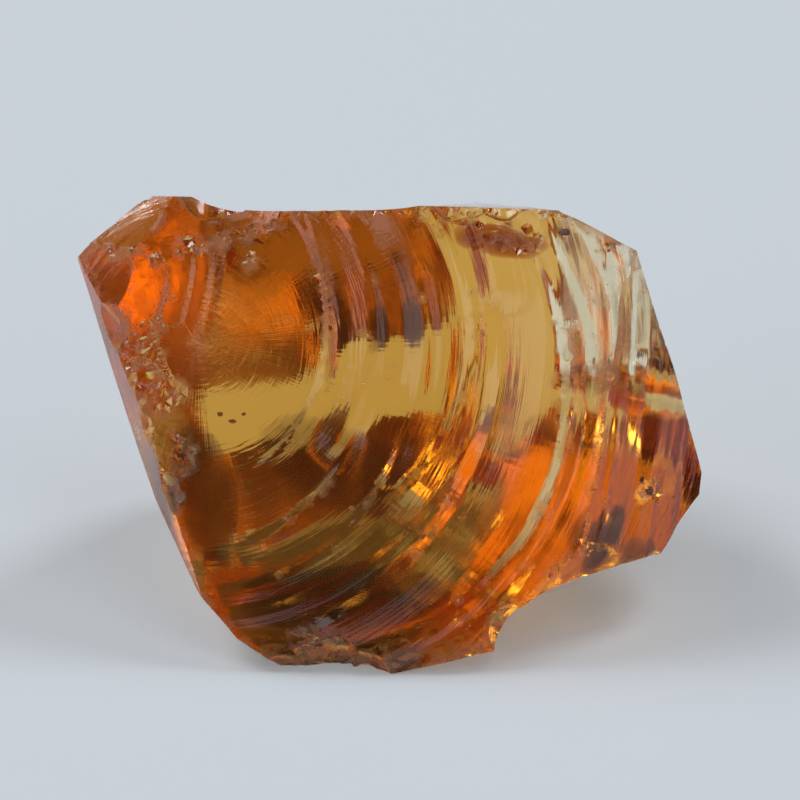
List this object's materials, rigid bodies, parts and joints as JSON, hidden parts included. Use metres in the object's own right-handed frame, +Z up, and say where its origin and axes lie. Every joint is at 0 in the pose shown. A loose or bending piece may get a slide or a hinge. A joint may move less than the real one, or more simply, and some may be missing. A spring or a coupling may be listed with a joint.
{
  "type": "rough topaz",
  "caption": "Rough piece of clear orange topaz, broken on every side, with one large shell-like fracture face whose ripples spread from a corner; it stands on a flat underside.",
  "frame": {"origin": "centre of the bounding box at its bottom, on the plane of the flat underside that the stone rests on", "axes": "+X along the large rippled face, towards the side its ripples spread to; +Y behind that face; +Z up"},
  "size_m": [0.0224, 0.0164, 0.0146],
  "materials": {
    "topaz": "clear amber-orange crystal, glassy fracture surfaces"
  },
  "bodies": {
    "root": {"topaz": "topaz"}
  },
  "joints": []
}
